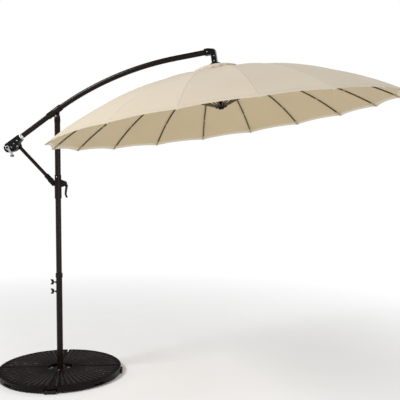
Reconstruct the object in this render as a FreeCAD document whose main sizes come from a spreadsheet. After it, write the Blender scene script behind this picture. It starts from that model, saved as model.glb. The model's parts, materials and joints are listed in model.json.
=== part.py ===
# Cantilever parasol: cross base with four slab weights, two-part mast, pivoting arm with
# crank winch, strut and sliding clamp, and a round canopy on ribs and stretchers.
# Row frame in millimetres: +Z up, origin on the floor at the mast's axis, arm towards +X.
import FreeCAD, Part
import math
import os
from types import SimpleNamespace

V = FreeCAD.Vector
Turn = FreeCAD.Rotation
Pose = FreeCAD.Placement
X_AXIS, Y_AXIS, Z_AXIS = V(1, 0, 0), V(0, 1, 0), V(0, 0, 1)
ORIGIN = V(0, 0, 0)

DIMENSIONS = [
    # base
    ("cross_turn", 17, "turn of the cross about the mast, degrees"),
    ("bar_half", 478, "half length of a cross tube"),
    ("bar_width", 50, "cross tube width"),
    ("bar_depth", 28, "cross tube depth"),
    ("bar_wall", 2, "cross tube wall"),
    ("bar_bottom", 10, "underside of the cross tubes above the floor"),
    ("foot_radius", 16, "round foot radius"),
    ("foot_offset", 32, "round foot's distance from the bar's middle line"),
    ("foot_length", 34, "end cap and foot length"),
    ("pad_radius", 30, "radius of the centre pad under the cross"),
    ("weight_radius", 500, "outer radius of the four slab weights"),
    ("weight_bottom", 9, "underside of a weight above the floor"),
    ("weight_top", 57, "top of a weight above the floor"),
    ("weight_gap", 12, "gap between neighbouring weights"),
    ("weight_bore", 98, "radius kept free about the mast foot"),
    ("weight_round", 5, "rounding of the weights' top edges"),
    ("grip_width", 90, "hand grip slot width"),
    ("grip_depth", 12, "hand grip slot depth"),
    # mast
    ("plate_side", 124, "mast foot plate side"),
    ("plate_thick", 5, "mast foot plate thickness"),
    ("bolt_ring", 68, "foot bolts' distance from the mast axis"),
    ("lower_radius", 25, "lower mast outer radius"),
    ("upper_radius", 23, "upper mast outer radius"),
    ("mast_wall", 1.6, "mast tube wall"),
    ("mast_play", 0.3, "play between sliding tubes"),
    ("lower_top", 800, "top of the lower mast tube"),
    ("collar_top", 836, "top of the mast collar"),
    ("collar_radius", 29, "mast collar radius"),
    ("upper_bottom", 600, "lower end of the upper mast"),
    ("upper_top", 2072, "upper end of the upper mast"),
    ("wing_low", 683, "height of the lower wing bolt"),
    ("wing_high", 760, "height of the upper wing bolt"),
    ("wing_thick", 6, "thickness of a wing bolt's head"),
    ("pivot_height", 2120, "height of the arm's pivot"),
    ("pivot_round", 14, "radius of the lugs about a pivot"),
    ("pin_radius", 5, "pivot bolt radius"),
    ("small_pin", 4, "radius of the studs and small pins"),
    ("pin_play", 0.05, "play of a pin in its hole"),
    ("hole_play", 0.3, "play of a foot bolt in its hole"),
    ("bolt_head", 8.5, "radius of the bolts' heads"),
    ("lug_half", 25, "half width over the pivot lugs"),
    ("tongue_half", 12, "half width of a tongue between lugs"),
    # arm, in its own frame: origin at the pivot, x along its straight lower run
    ("arm_slope", 33.5, "slope of the arm's straight lower run, degrees"),
    ("canopy_tilt", 8.4, "tilt of the canopy and slope of the arm's outer end, degrees"),
    ("arm_rise", 42, "distance of the arm's axis from its pivot"),
    ("arm_radius", 21, "arm tube outer radius"),
    ("arm_wall", 1.5, "arm tube wall"),
    ("arm_tail", 396, "length of the straight run behind the pivot"),
    ("arm_bend", 2540, "radius of the arm's long bend"),
    ("arm_nose", 292, "straight outer end, from the bend to the hub's axis"),
    ("sleeve_radius", 26.5, "arm sleeve outer radius"),
    ("sleeve_half", 68, "half length of the arm sleeve"),
    # winch and strut
    ("drum_back", 500, "winch axle behind the pivot, along the arm"),
    ("drum_rise", 28, "winch axle above the pivot, across the arm"),
    ("drum_radius", 14, "winch drum radius"),
    ("drum_case", 40, "winch casing radius about the axle"),
    ("case_wall", 3, "winch casing wall"),
    ("axle_radius", 6, "winch axle radius"),
    ("crank_length", 87, "crank arm length"),
    ("crank_hub", 17, "crank hub radius"),
    ("crank_grip", 9, "crank grip radius"),
    ("crank_reach", 34, "crank grip length"),
    ("drum_flange", 10, "height of the drum's flanges over its barrel"),
    ("flange_wide", 3, "thickness of a drum flange"),
    ("cord_lift", 0.3, "space between the cord and the drum"),
    ("strut_back", 421.3, "upper strut pivot behind the arm's pivot, along the arm"),
    ("strut_drop", 11.4, "upper strut pivot below the arm's pivot, across the arm"),
    ("strut_play", 5.5, "play of the strut's upper eye about its bolt"),
    ("strut_wall", 1.5, "strut tube wall"),
    ("strut_radius", 14.5, "strut tube radius"),
    ("grip_radius", 20.5, "strut socket radius"),
    ("eye_half", 6, "half thickness of the strut's eyes"),
    ("slider_low", 1451, "lower end of the slider"),
    ("slider_neck", 1606, "height where the slider narrows"),
    ("slider_top", 1644, "upper end of the slider"),
    ("slider_radius", 28, "slider radius"),
    ("slider_eye", 40, "lower strut pivot's distance from the mast axis"),
    ("slider_pivot", 1577.5, "height of the lower strut pivot"),
    ("lever_out", 53, "clamp lever pivot's distance from the mast axis"),
    ("lever_height", 1573, "height of the clamp lever pivot"),
    # head of the arm and canopy, in the canopy's frame: origin at the rim's centre
    ("head_height", 560, "arm axis above the rim plane, at the hub's axis"),
    ("elbow_half", 24.5, "half width of the elbow"),
    ("elbow_wall", 3, "elbow wall"),
    ("flange_radius", 41, "clamp flange radius"),
    ("flange_thick", 8, "clamp flange thickness"),
    ("flange_height", 458, "underside of the clamp flange above the rim plane"),
    ("pulley_radius", 10, "cord radius on the elbow pulley"),
    ("pulley_half", 6, "half width of the elbow pulley"),
    ("cord_radius", 2, "lift cord radius"),
    ("ribs", 18, "number of ribs"),
    ("canopy_radius", 1350, "canopy radius at the rib tips"),
    ("canopy_rise", 400, "rise of the dome over the rim plane"),
    ("cloth", 1.5, "cloth thickness"),
    ("cloth_gap", 1.5, "space between a rib and the cloth"),
    ("vent_radius", 168, "radius of the vent cap"),
    ("vent_hole", 112, "radius of the vent hole in the canopy"),
    ("vent_rise", 32.5, "rise of the vent cap over its own edge"),
    ("hinge_ring", 45, "radius of the rib hinges"),
    ("hinge_height", 388, "height of the rib hinges above the rim plane"),
    ("rib_start", 66, "radius where a rib's channel starts"),
    ("rib_end", 1343, "radius where a rib ends"),
    ("rib_width", 8, "rib channel width"),
    ("rib_depth", 8, "rib channel depth"),
    ("rib_wall", 0.8, "rib channel wall"),
    ("tang", 5, "thickness of a rib's hinge tang"),
    ("joint_ring", 550, "radius where the stretchers meet the ribs"),
    ("joint_height", 328, "height where the stretchers meet the ribs"),
    ("runner_ring", 38, "radius of the runner's stretcher pivots"),
    ("runner_height", 135, "height of the runner's stretcher pivots"),
    ("stay", 4, "stretcher thickness"),
    ("stay_half", 4, "half depth of a stretcher"),
    ("slot", 5.6, "width of the hub and runner slots"),
    ("throat", 6, "radius of the hub's throat for the cord"),
    ("collar", 36, "radius of the collar that carries the vent cap"),
]

doc = FreeCAD.newDocument("CantileverParasol")
sheet = doc.addObject("Spreadsheet::Sheet", "sheet")
for row, (alias, number, meaning) in enumerate(DIMENSIONS, start=1):
    sheet.set(f"A{row}", meaning)
    sheet.set(f"B{row}", str(number))
    sheet.setAlias(f"B{row}", alias)
doc.recompute()

S = SimpleNamespace(**{alias: float(sheet.get(alias)) for alias, number, meaning in DIMENSIONS})
parts = []


# ---- helpers ----

def bind(thing, sizes):
    """Bind properties to expressions over the sheet's cells."""
    for name, formula in sizes.items():
        thing.setExpression(name, formula)
    return thing


def solid(kind, name, pose=Pose(), **sizes):
    """A Part primitive with its sizes bound to the sheet."""
    thing = doc.addObject("Part::" + kind, name)
    thing.Placement = pose
    return bind(thing, sizes)


def rod(name, radius, length, start, direction, frame=Pose()):
    """A cylinder from start along direction, both in the given frame."""
    pose = frame.multiply(Pose(start, Turn(Z_AXIS, direction)))
    return solid("Cylinder", name, pose, Radius=radius, Height=length)


def fuse(name, *pieces):
    """One solid out of several."""
    thing = doc.addObject("Part::MultiFuse", name)
    thing.Shapes = list(pieces)
    return thing


def cut(name, base, *tools):
    """The base with the tools taken away."""
    thing = doc.addObject("Part::Cut", name)
    thing.Base = base
    thing.Tool = tools[0] if len(tools) == 1 else fuse(name + "_tools", *tools)
    return thing


def group(name, *pieces):
    """Separate solids kept together as one sub-part."""
    thing = doc.addObject("Part::Compound", name)
    thing.Links = list(pieces)
    return thing


def keep(thing, label):
    """Make this object a sub-part, written to the file of its label."""
    thing.Label = label
    parts.append(thing)
    return thing


def belt(rounds):
    """Edges of the outline round circles (x, y, radius), given anticlockwise; radius 0 is a corner."""
    lines = []
    for here, there in zip(rounds, rounds[1:] + rounds[:1]):
        across = V(there[0] - here[0], there[1] - here[1], 0)
        along = V(across).normalize()
        right = V(along.y, -along.x, 0)
        lean = (here[2] - there[2]) / across.Length
        normal = right * math.sqrt(1 - lean * lean) + along * lean
        start = V(here[0], here[1], 0) + normal * here[2]
        stop = V(there[0], there[1], 0) + normal * there[2]
        lines.append((start, stop, math.atan2(normal.y, normal.x)))
    edges = []
    for k, (start, stop, angle) in enumerate(lines):
        edges.append(Part.LineSegment(start, stop))
        x, y, radius = rounds[(k + 1) % len(rounds)]
        turn = (lines[(k + 1) % len(lines)][2] - angle) % (2 * math.pi)
        if radius > 0 and turn > 1e-6:
            edges.append(Part.ArcOfCircle(Part.Circle(V(x, y, 0), Z_AXIS, radius), angle, angle + turn))
    return edges


def ring(x, y, radius):
    """A full circle for a sketch."""
    return [Part.Circle(V(x, y, 0), Z_AXIS, radius)]


UPRIGHT = Pose(ORIGIN, Turn(X_AXIS, 90))  # sketch x stays x, sketch y becomes z


def plate(name, rounds, half, frame=Pose(), side=0.0):
    """A plate in the frame's XZ plane: an outline of rounds, half thick each way about y = side."""
    sketch = doc.addObject("Sketcher::SketchObject", name + "_outline")
    sketch.addGeometry(belt(rounds))
    sketch.Placement = frame.multiply(Pose(V(0, side, 0), Turn())).multiply(UPRIGHT)
    thing = doc.addObject("Part::Extrusion", name)
    thing.Base = sketch
    thing.DirMode = "Normal"
    thing.Solid = True
    thing.Symmetric = True
    return bind(thing, {"LengthFwd": f"2 * ({half})"})


def body(label, pose):
    """A PartDesign body that is a sub-part."""
    thing = doc.addObject("PartDesign::Body", label)
    thing.Placement = pose
    return keep(thing, label)


def draw(owner, name, plane, edges, lift=0.0):
    """A sketch on one of a body's own origin planes."""
    sketch = owner.newObject("Sketcher::SketchObject", name)
    base = [f for f in owner.Origin.OriginFeatures if f.Role == plane][0]
    sketch.AttachmentSupport = [(base, "")]
    sketch.MapMode = "FlatFace"
    sketch.AttachmentOffset = Pose(V(0, 0, lift), Turn())
    sketch.addGeometry(edges)
    return sketch


def feature(owner, kind, name, profile, **sizes):
    """A sketch-based feature of a body."""
    thing = owner.newObject("PartDesign::" + kind, name)
    thing.Profile = profile
    return bind(thing, sizes)


def polygon(points):
    """Closed line segments through points (x, y)."""
    corners = [V(x, y, 0) for x, y in points]
    return [Part.LineSegment(a, b) for a, b in zip(corners, corners[1:] + corners[:1])]


# ---- frames ----

ARM = Pose(V(0, 0, S.pivot_height), Turn(Y_AXIS, -S.arm_slope))
BEND_TURN = math.radians(S.arm_slope - S.canopy_tilt)
BEND_CENTRE = V(0, 0, S.arm_rise - S.arm_bend)
BEND_END = BEND_CENTRE + V(math.sin(BEND_TURN), 0, math.cos(BEND_TURN)) * S.arm_bend
NOSE_DIRECTION = V(math.cos(BEND_TURN), 0, -math.sin(BEND_TURN))
HEAD = ARM.multVec(BEND_END + NOSE_DIRECTION * S.arm_nose)
TILT = Turn(Y_AXIS, -S.canopy_tilt)
CANOPY = Pose(HEAD - TILT.multVec(Z_AXIS) * S.head_height, TILT)
BEND_POSE = Turn(Z_AXIS, X_AXIS, Y_AXIS, "XYZ")  # a ring that starts upwards and turns towards +X
SLICE = 360 / S.ribs


def rib_frame(k):
    """Frame of rib k: x outwards along the rib, z up the canopy's axis."""
    return CANOPY.multiply(Pose(ORIGIN, Turn(Z_AXIS, (k + 0.5) * SLICE)))


# ---- base ----

CROSS = Pose(ORIGIN, Turn(Z_AXIS, S.cross_turn))


def cross(name, shrink):
    """Two crossing bars, smaller all round by the given formula; the inner ones run right through."""
    bars = []
    for k in range(2):
        bar = solid("Box", f"{name}_{k}", Length="2 * sheet.bar_half",
                    Width=f"sheet.bar_width - 2 * ({shrink})", Height=f"sheet.bar_depth - 2 * ({shrink})")
        inset = S.bar_wall if shrink != "0" else 0
        corner = V(-S.bar_half, inset - S.bar_width / 2, S.bar_bottom + inset)
        turned = Pose(ORIGIN, Turn(Z_AXIS, 90 * k)).multiply(Pose(corner, Turn()))
        bar.Placement = CROSS.multiply(turned)
        bars.append(bar)
    return fuse(name, *bars)


def end_caps():
    """Plug and two round feet at each end of the cross."""
    pieces = []
    for k in range(4):
        spoke = CROSS.multiply(Pose(ORIGIN, Turn(Z_AXIS, 90 * k)))
        block = solid("Box", f"cap_{k}", Length="sheet.foot_length", Width="2 * sheet.foot_offset",
                      Height="sheet.foot_radius + 10")
        corner = V(S.bar_half, -S.foot_offset, 0)
        block.Placement = spoke.multiply(Pose(corner, Turn()))
        pieces.append(block)
        for side in (-1, 1):
            start = V(S.bar_half, side * S.foot_offset, S.foot_radius)
            name = f"foot_{k}_{'low' if side < 0 else 'high'}"
            pieces.append(rod(name, "sheet.foot_radius", "sheet.foot_length", start, X_AXIS, spoke))
    return pieces


def bolt_places():
    """The four foot bolts' places on the mast foot plate."""
    return [CROSS.multVec(Turn(Z_AXIS, 90 * k).multVec(V(S.bolt_ring, 0, 0))) for k in range(4)]


def make_base_cross():
    """Welded tube cross with its centre pad, end caps, feet and bolt holes."""
    shell = cut("cross_shell", cross("cross_outer", "0"), cross("cross_inner", "sheet.bar_wall"))
    pad = rod("centre_pad", "sheet.pad_radius", "sheet.bar_bottom", ORIGIN, Z_AXIS)
    whole = fuse("cross_whole", shell, pad, *end_caps())
    holes = [rod(f"cross_hole_{k}", "sheet.pin_radius + sheet.hole_play", "60", place, Z_AXIS)
             for k, place in enumerate(bolt_places())]
    keep(cut("base_cross", whole, *holes), "base_cross")


def make_base_weights():
    """Four quarter slabs lying over the cross, each with a hand grip slot in its rim."""
    slabs = []
    for k in range(4):
        quarter = CROSS.multiply(Pose(ORIGIN, Turn(Z_AXIS, 90 * k)))
        tall = "sheet.weight_top - sheet.weight_bottom"
        low = V(0, 0, S.weight_bottom)
        disc = solid("Cylinder", f"slab_disc_{k}", quarter.multiply(Pose(low, Turn())),
                     Radius="sheet.weight_radius", Height=tall)
        inset = V(S.weight_gap / 2, S.weight_gap / 2, S.weight_bottom)
        square = solid("Box", f"slab_square_{k}", quarter.multiply(Pose(inset, Turn())),
                       Length="sheet.weight_radius", Width="sheet.weight_radius", Height=tall)
        slab = doc.addObject("Part::Common", f"slab_{k}")
        slab.Base = disc
        slab.Tool = square
        bore = rod(f"slab_bore_{k}", "sheet.weight_bore", "100", ORIGIN, Z_AXIS, quarter)
        tools = [bore]
        over = S.bar_width / 2 + 2
        top = S.bar_bottom + S.bar_depth + 0.2
        for turn in (0, 90):
            step = quarter.multiply(Pose(ORIGIN, Turn(Z_AXIS, turn)))
            box = solid("Box", f"slab_step_{k}_{turn}", step.multiply(Pose(V(0, -over, 0), Turn())),
                        Length="sheet.weight_radius + 20", Width="sheet.bar_width + 4")
            box.Height = top
            wide = S.foot_offset + S.foot_radius + 3
            end = solid("Box", f"slab_end_{k}_{turn}",
                        step.multiply(Pose(V(S.bar_half - 3, -wide, 0), Turn())), Length="60")
            end.Width = 2 * wide
            end.Height = top
            tools += [box, end]
        grip = quarter.multiply(Pose(ORIGIN, Turn(Z_AXIS, 45)))
        inner = S.weight_radius - 48
        slot = solid("Box", f"slab_slot_{k}",
                     grip.multiply(Pose(V(inner, -S.grip_width / 2, 18), Turn())),
                     Length="60", Width="sheet.grip_width", Height="sheet.grip_depth")
        well = solid("Box", f"slab_well_{k}",
                     grip.multiply(Pose(V(inner, -S.grip_width / 2, 0), Turn())),
                     Length="30", Width="sheet.grip_width", Height="18 + sheet.grip_depth")
        slab = cut(f"slab_cut_{k}", slab, *(tools + [slot, well]))
        doc.recompute()
        rim = []
        for n, edge in enumerate(slab.Shape.Edges, start=1):
            if edge.BoundBox.ZMin > S.weight_top - 0.01:
                rim.append((n, S.weight_round, S.weight_round))
        rounded = doc.addObject("Part::Fillet", f"slab_round_{k}")
        rounded.Base = slab
        rounded.Edges = rim
        slabs.append(rounded)
    keep(group("base_weights", *slabs), "base_weights")


def make_foot_bolts():
    """Four bolts through the foot plate, with washers."""
    bolts = []
    plate_top = S.bar_bottom + S.bar_depth + S.plate_thick
    for k, place in enumerate(bolt_places()):
        shank = rod(f"bolt_shank_{k}", "sheet.pin_radius", "30", place + V(0, 0, plate_top - 26), Z_AXIS)
        washer = rod(f"bolt_washer_{k}", "11", "2", place + V(0, 0, plate_top), Z_AXIS)
        head = solid("Prism", f"bolt_head_{k}", Pose(place + V(0, 0, plate_top + 2), Turn()),
                     Circumradius="sheet.bolt_head", Height="6")
        bolts.append(fuse(f"foot_bolt_{k}", shank, washer, head))
    keep(group("foot_bolts", *bolts), "foot_bolts")


# ---- mast ----

def make_lower_mast():
    """Tube with a welded foot plate, the collar about its mouth and two nuts for the wing bolts."""
    foot = S.bar_bottom + S.bar_depth
    tube = rod("lower_tube", "sheet.lower_radius", f"sheet.lower_top - {foot}", V(0, 0, foot), Z_AXIS)
    half = S.plate_side / 2
    turned = CROSS.multiply(Pose(ORIGIN, Turn(Z_AXIS, 45))).multiply(Pose(V(-half, -half, foot), Turn()))
    foot_plate = solid("Box", "foot_plate", turned, Length="sheet.plate_side", Width="sheet.plate_side",
                       Height="sheet.plate_thick")
    collar = rod("mast_collar", "sheet.collar_radius", "sheet.collar_top - sheet.lower_top + 3",
                 V(0, 0, S.lower_top - 3), Z_AXIS)
    edge = doc.addObject("Part::Chamfer", "collar_edge")
    edge.Base = collar
    doc.recompute()
    edge.Edges = [(n, 3, 3) for n, e in enumerate(collar.Shape.Edges, start=1) if e.Closed]
    nuts = [rod(f"wing_nut_{k}", "9", "14", V(-S.lower_radius - 8, 0, getattr(S, k)), X_AXIS)
            for k in ("wing_low", "wing_high")]
    bore = rod("lower_bore", "sheet.upper_radius + sheet.mast_play", "sheet.collar_top",
               V(0, 0, foot + S.plate_thick), Z_AXIS)
    studs = [rod(f"wing_hole_{k}", "sheet.small_pin + sheet.pin_play", "60",
                 V(-S.lower_radius - 40, 0, getattr(S, k)), X_AXIS)
             for k in ("wing_low", "wing_high")]
    holes = [rod(f"plate_hole_{k}", "sheet.pin_radius + sheet.hole_play", "60", place, Z_AXIS)
             for k, place in enumerate(bolt_places())]
    whole = fuse("lower_whole", tube, foot_plate, edge, *nuts)
    keep(cut("lower_mast", whole, bore, *(studs + holes)), "lower_mast")


def make_wing_bolt(label, height):
    """Stud with a two-winged head, screwed into the lower mast from the side of the winch."""
    owner = body(label, Pose(V(0, 0, height), Turn()))
    outline = polygon([(-46, -7), (-46, 7), (-54, 21), (-77, 22), (-64, 0), (-77, -22), (-54, -21)])
    sketch = draw(owner, label + "_wing_sketch", "XZ_Plane", outline)
    head = feature(owner, "Pad", label + "_wings", sketch, Length="sheet.wing_thick")
    head.Midplane = True
    base = draw(owner, label + "_stud_sketch", "YZ_Plane", ring(0, 0, S.small_pin), lift=-S.upper_radius - 0.4)
    stud = feature(owner, "Pad", label + "_stud", base, Length="32")
    stud.Reversed = True
    return owner


def make_upper_mast():
    """Plain tube that slides into the lower mast."""
    tube = rod("upper_tube", "sheet.upper_radius", "sheet.upper_top - sheet.upper_bottom",
               V(0, 0, S.upper_bottom), Z_AXIS)
    bore = rod("upper_bore", "sheet.upper_radius - sheet.mast_wall",
               "sheet.upper_top - sheet.upper_bottom", V(0, 0, S.upper_bottom), Z_AXIS)
    keep(cut("upper_mast", tube, bore), "upper_mast")


def make_mast_head():
    """Plug, cap and two lugs at the mast's top, which carry the arm's pivot bolt."""
    plug = rod("head_plug", "sheet.upper_radius - sheet.mast_wall", "40", V(0, 0, S.upper_top - 40), Z_AXIS)
    cap = rod("head_cap", "sheet.lower_radius", "24", V(0, 0, S.upper_top), Z_AXIS)
    top = S.upper_top + 10
    lugs = []
    middle = (S.lug_half + S.tongue_half + 0.4) / 2
    for side in (-1, 1):
        outline = [(-S.pivot_round, top, 0), (S.pivot_round, top, 0), (0, S.pivot_height, S.pivot_round)]
        lugs.append(plate(f"head_lug_{side + 1}", outline, "(sheet.lug_half - sheet.tongue_half - 0.4) / 2",
                          side=side * middle))
    hole = rod("head_hole", "sheet.pin_radius + sheet.pin_play", "80", V(0, -40, S.pivot_height), Y_AXIS)
    doc.recompute()
    keep(cut("mast_head", fuse("head_whole", plug, cap, *lugs), hole), "mast_head")


# ---- arm ----

def arm_run(name, radius, rise, start, stop):
    """Round bar along the arm's line, rise above its axis, from start (arm x) to stop (canopy x)."""
    above = rise - S.arm_rise
    straight = rod(name + "_tail", radius, f"{-start}", V(start, 0, rise), X_AXIS, ARM)
    bend = solid("Torus", name + "_bend", ARM.multiply(Pose(BEND_CENTRE, BEND_POSE)),
                 Radius1=f"sheet.arm_bend + {above}", Radius2=radius,
                 Angle3="sheet.arm_slope - sheet.canopy_tilt")
    nose = rod(name + "_nose", radius, f"sheet.arm_nose + {stop}",
               V(-S.arm_nose, 0, S.head_height + above), X_AXIS, CANOPY)
    return fuse(name, straight, bend, nose)


def make_arm_tube():
    """The bent arm tube."""
    outer = arm_run("arm_outer", "sheet.arm_radius", S.arm_rise, -S.arm_tail, -40)
    inner = arm_run("arm_inner", "sheet.arm_radius - sheet.arm_wall", S.arm_rise, -S.arm_tail, -40)
    keep(cut("arm_tube", outer, inner), "arm_tube")


def make_arm_bracket():
    """Sleeve about the arm with the tongue that hangs on the mast's pivot bolt."""
    sleeve = rod("bracket_sleeve", "sheet.sleeve_radius", "2 * sheet.sleeve_half",
                 V(-S.sleeve_half, 0, S.arm_rise), X_AXIS, ARM)
    outline = [(0, 0, S.pivot_round - 1), (40, S.arm_rise - 16, 0), (-40, S.arm_rise - 16, 0)]
    tongue = plate("bracket_tongue", outline, "sheet.tongue_half", ARM)
    bore = rod("bracket_bore", "sheet.arm_radius + 1.1", "400", V(-200, 0, S.arm_rise), X_AXIS, ARM)
    hole = rod("bracket_hole", "sheet.pin_radius", "80", V(0, -40, 0), Y_AXIS, ARM)
    keep(cut("arm_bracket", fuse("bracket_whole", sleeve, tongue), bore, hole), "arm_bracket")


def make_pivot_bolts():
    """The arm's pivot bolt and the strut's upper bolt."""
    bolts = []
    for k, (x, z) in enumerate(((0, 0), (-S.strut_back, -S.strut_drop))):
        shank = rod(f"pivot_shank_{k}", "sheet.pin_radius", "2 * sheet.lug_half + 2",
                    V(x, -S.lug_half - 1, z), Y_AXIS, ARM)
        front = rod(f"pivot_front_{k}", "sheet.bolt_head", "5", V(x, -S.lug_half - 5.3, z), Y_AXIS, ARM)
        back = rod(f"pivot_back_{k}", "sheet.bolt_head", "5", V(x, S.lug_half + 0.3, z), Y_AXIS, ARM)
        bolts.append(fuse(f"pivot_bolt_{k}", shank, front, back))
    keep(group("pivot_bolts", *bolts), "pivot_bolts")


# ---- winch ----

def make_winch_housing():
    """Hollow casing about the drum, with a socket for the arm and lugs for the strut."""
    axle = (-S.drum_back, S.drum_rise)
    eye = (-S.strut_back, -S.strut_drop)
    chin = (axle[0] + 30, -S.strut_drop)
    mouth = -S.arm_tail + 30
    low, high = S.arm_rise - S.arm_radius - 1, S.arm_rise + S.arm_radius + 1
    outline = [(axle[0], axle[1], S.drum_case), (chin[0], chin[1], 14), (eye[0], eye[1], S.pivot_round),
               (eye[0] + 20, 10, 0), (mouth - 2, low, 2), (mouth - 2, high, 2)]
    case = plate("case_solid", outline, "sheet.lug_half", ARM)
    wall = S.case_wall
    back = -S.arm_tail - 4
    room_outline = [(axle[0], axle[1], S.drum_case - wall), (chin[0], chin[1], 14 - wall),
                    (eye[0] - 19, 6, 0), (back, low - 2, 0), (back, high - wall, 0)]
    room = plate("case_room", room_outline, "sheet.lug_half - sheet.case_wall", ARM)
    clear = 16.5 + S.strut_play
    gap_outline = [(eye[0], eye[1], clear), (eye[0] + 2, eye[1] - 40, clear + 3)]
    gap = plate("case_gap", gap_outline, "sheet.eye_half + 0.6", ARM)
    socket = rod("case_socket", "sheet.arm_radius + 0.2", "80", V(-S.arm_tail - 6, 0, S.arm_rise), X_AXIS, ARM)
    axle_hole = rod("case_axle_hole", "sheet.axle_radius + sheet.pin_play", "100",
                    V(axle[0], -50, axle[1]), Y_AXIS, ARM)
    pin_hole = rod("case_pin_hole", "sheet.pin_radius", "100", V(eye[0], -50, eye[1]), Y_AXIS, ARM)
    keep(cut("winch_housing", case, room, gap, socket, axle_hole, pin_hole), "winch_housing")


def make_winch_drum():
    """Drum with two flanges on the axle that the crank turns."""
    x, z = -S.drum_back, S.drum_rise
    axle = rod("drum_axle", "sheet.axle_radius", "56", V(x, -31, z), Y_AXIS, ARM)
    drum = rod("drum_barrel", "sheet.drum_radius - sheet.cord_lift", "32", V(x, -16, z), Y_AXIS, ARM)
    reach = "sheet.drum_radius + sheet.drum_flange"
    low = rod("drum_flange_low", reach, "sheet.flange_wide", V(x, -16, z), Y_AXIS, ARM)
    high = rod("drum_flange_high", reach, "sheet.flange_wide", V(x, 13, z), Y_AXIS, ARM)
    keep(fuse("winch_drum", axle, drum, low, high), "winch_drum")


def make_winch_crank():
    """Crank arm on the axle's front end, with its grip."""
    x, z = -S.drum_back, S.drum_rise
    end = V(x + 8, 0, z - S.crank_length)
    front = -S.lug_half - 6
    hub = rod("crank_hub", "sheet.crank_hub", "9", V(x, front - 9, z), Y_AXIS, ARM)
    flat = plate("crank_flat", [(x, z, 10), (end.x, end.z, 7)], "3", ARM, side=front - 6)
    grip = rod("crank_grip", "sheet.crank_grip", "sheet.crank_reach",
               V(end.x, front - 9 - S.crank_reach, end.z), Y_AXIS, ARM)
    pin = rod("crank_pin", "sheet.small_pin", "20", V(end.x, front - 20, end.z), Y_AXIS, ARM)
    keep(fuse("winch_crank", hub, flat, grip, pin), "winch_crank")


# ---- strut and slider ----

EYE = ARM.multVec(V(-S.strut_back, 0, -S.strut_drop))
LOW_EYE = V(-S.slider_eye, 0, S.slider_pivot)
STRUT_LENGTH = (EYE - LOW_EYE).Length
STRUT = Pose(LOW_EYE, Turn(X_AXIS, EYE - LOW_EYE))


def make_strut_tube():
    """Tube of the strut with its flattened upper eye, which has play about the bolt."""
    tube = rod("strut_round", "sheet.strut_radius", f"{STRUT_LENGTH - 26 - 45}", V(45, 0, 0), X_AXIS, STRUT)
    bore = rod("strut_bore", "sheet.strut_radius - sheet.strut_wall", f"{STRUT_LENGTH - 30 - 45}",
               V(45, 0, 0), X_AXIS, STRUT)
    hollow = cut("strut_hollow", tube, bore)
    outline = [(STRUT_LENGTH, 0, 15), (STRUT_LENGTH - 40, 0, 12)]
    eye = plate("strut_eye", outline, "sheet.eye_half", STRUT)
    hole = rod("strut_eye_hole", "sheet.pin_radius + sheet.strut_play", "80",
               V(STRUT_LENGTH, -40, 0), Y_AXIS, STRUT)
    keep(cut("strut_tube", fuse("strut_whole", hollow, eye), hole), "strut_tube")


def make_strut_grip():
    """Moulded socket on the strut's lower end, forked about the slider's lug."""
    socket = rod("grip_round", "sheet.grip_radius", "72", V(18, 0, 0), X_AXIS, STRUT)
    rim = doc.addObject("Part::Fillet", "grip_edge")
    rim.Base = socket
    doc.recompute()
    rim.Edges = [(n, 3, 3) for n, e in enumerate(socket.Shape.Edges, start=1) if e.Closed]
    outline = [(34, 0, S.grip_radius - 1), (-14, 14, 5), (0, 0, 10.5)]
    cheeks = plate("grip_cheeks", outline, "15", STRUT)
    gap = plate("grip_gap", [(18, 0, 19), (-16, 16, 12), (-4, 0, 14)], "sheet.eye_half + 0.4", STRUT)
    bore = rod("grip_bore", "sheet.strut_radius", "60", V(45, 0, 0), X_AXIS, STRUT)
    hole = rod("grip_hole", "sheet.pin_radius + sheet.pin_play", "80", V(0, -40, 0), Y_AXIS, STRUT)
    keep(cut("strut_grip", fuse("grip_whole", rim, cheeks), gap, bore, hole), "strut_grip")


def make_slider():
    """Sleeve that slides on the mast, with the strut's lug and pin and two ears for the clamp lever."""
    low = rod("slider_body", "sheet.slider_radius", "sheet.slider_neck - sheet.slider_low",
              V(0, 0, S.slider_low), Z_AXIS)
    neck = rod("slider_collar", "sheet.slider_radius - 1.6", "sheet.slider_top - sheet.slider_neck",
               V(0, 0, S.slider_neck), Z_AXIS)
    lug = plate("slider_lug", [(-S.slider_eye, S.slider_pivot, 10), (-20, S.slider_pivot - 18, 0),
                               (-20, S.slider_pivot + 18, 0)], "sheet.eye_half")
    pin = rod("slider_pin", "sheet.pin_radius", "34", V(-S.slider_eye, -17, S.slider_pivot), Y_AXIS)
    ears = []
    for side in (-1, 1):
        outline = [(15, S.lever_height - 34, 0), (S.lever_out, S.lever_height, 21), (15, S.lever_height + 34, 0)]
        ears.append(plate(f"slider_ear_{side + 1}", outline, "3", side=side * 12))
    bolt = rod("slider_bolt", "sheet.small_pin", "30", V(S.lever_out, -15, S.lever_height), Y_AXIS)
    bore = rod("slider_bore", "sheet.upper_radius + sheet.mast_play",
               "sheet.slider_top - sheet.slider_low", V(0, 0, S.slider_low), Z_AXIS)
    whole = fuse("slider_whole", low, neck, lug, pin, bolt, *ears)
    keep(cut("slider_sleeve", whole, bore), "slider_sleeve")


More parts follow.
